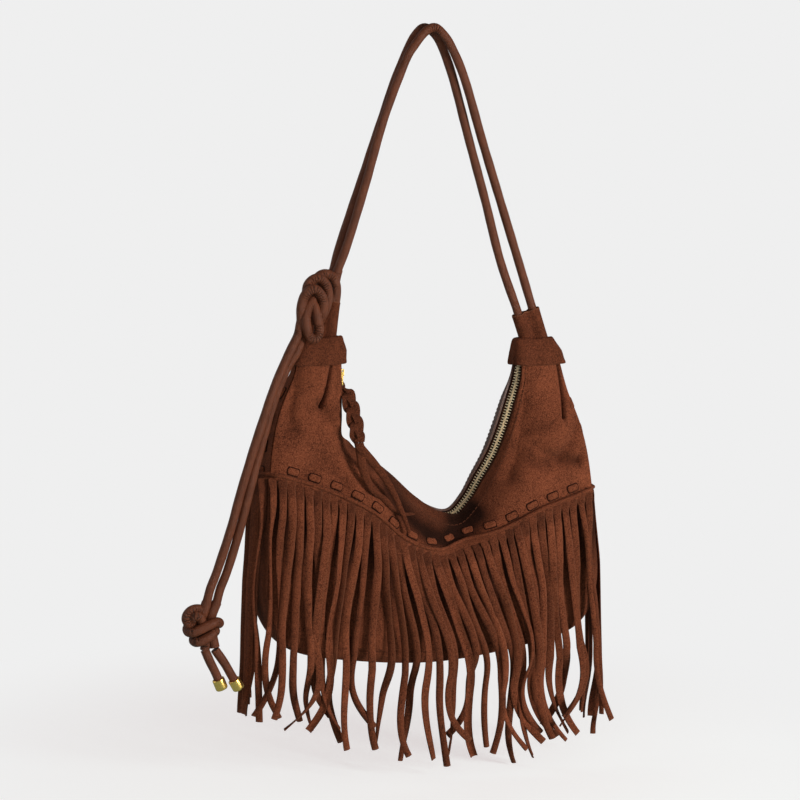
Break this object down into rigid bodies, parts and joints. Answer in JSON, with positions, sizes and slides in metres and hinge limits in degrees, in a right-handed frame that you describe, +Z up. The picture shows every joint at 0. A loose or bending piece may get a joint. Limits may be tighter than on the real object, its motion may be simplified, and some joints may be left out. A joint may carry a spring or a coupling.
{
  "type": "fringed suede bag",
  "caption": "Slouching hobo shoulder bag with a curved zipped mouth, gathered ears, a doubled cord strap knotted on one side with hanging tails, and a cut leather fringe.",
  "frame": {"origin": "the underside of the strap cords at their highest point, where the bag hangs", "axes": "+X to the bag's right as seen from its front, -Y out of the front, +Z up"},
  "size_m": [0.4045, 0.0786, 0.6778],
  "materials": {
    "suede": "napped suede, dark reddish brown, matte",
    "smooth_leather": "smooth grain side, dark brown, half gloss",
    "cord_leather": "smooth rolled leather cord, half gloss",
    "tape_cloth": "woven cotton zip tape, dark brown",
    "brass": "satin brass teeth",
    "gold_metal": "polished, gold coloured"
  },
  "bodies": {
    "bag": {"front_panel": "suede", "back_panel": "smooth_leather", "gusset": "smooth_leather", "front_lace": "suede", "side_lace_left": "suede", "side_lace_right": "suede", "zip_tape_front": "tape_cloth", "zip_tape_back": "tape_cloth", "zip_teeth_front": "brass", "zip_teeth_back": "brass", "zip_top_stop": "brass", "zip_end_stop": "brass", "collar_left": "suede", "collar_right": "suede", "sleeve_left": "suede", "sleeve_right": "suede", "strap_cord_outer": "cord_leather", "strap_cord_inner": "cord_leather", "upper_knot": "cord_leather", "tail_cord_outer": "cord_leather", "tail_cord_inner": "cord_leather", "lower_knot": "cord_leather", "tail_end_outer": "cord_leather", "tail_end_inner": "cord_leather", "cord_cap_outer": "gold_metal", "cord_cap_inner": "gold_metal", "fringe_strip": "suede", "pull_tails": "suede"},
    "slider": {"zip_slider": "gold_metal"},
    "pull_tab": {"zip_pull_tab": "gold_metal", "pull_plait": "suede"}
  },
  "joints": [
    {"name": "zip_slide", "type": "slide", "parent": "bag", "child": "slider", "axis": [0, 0, -1], "range_m": [0, 0.032], "deforming": ["pull_tails"]},
    {"name": "pull_tab_swing", "type": "hinge", "parent": "slider", "child": "pull_tab", "pos_m": [-0.08025, 0, -0.306], "axis": [0, -1, 0], "range_deg": [0, 110], "deforming": ["pull_plait"]}
  ]
}
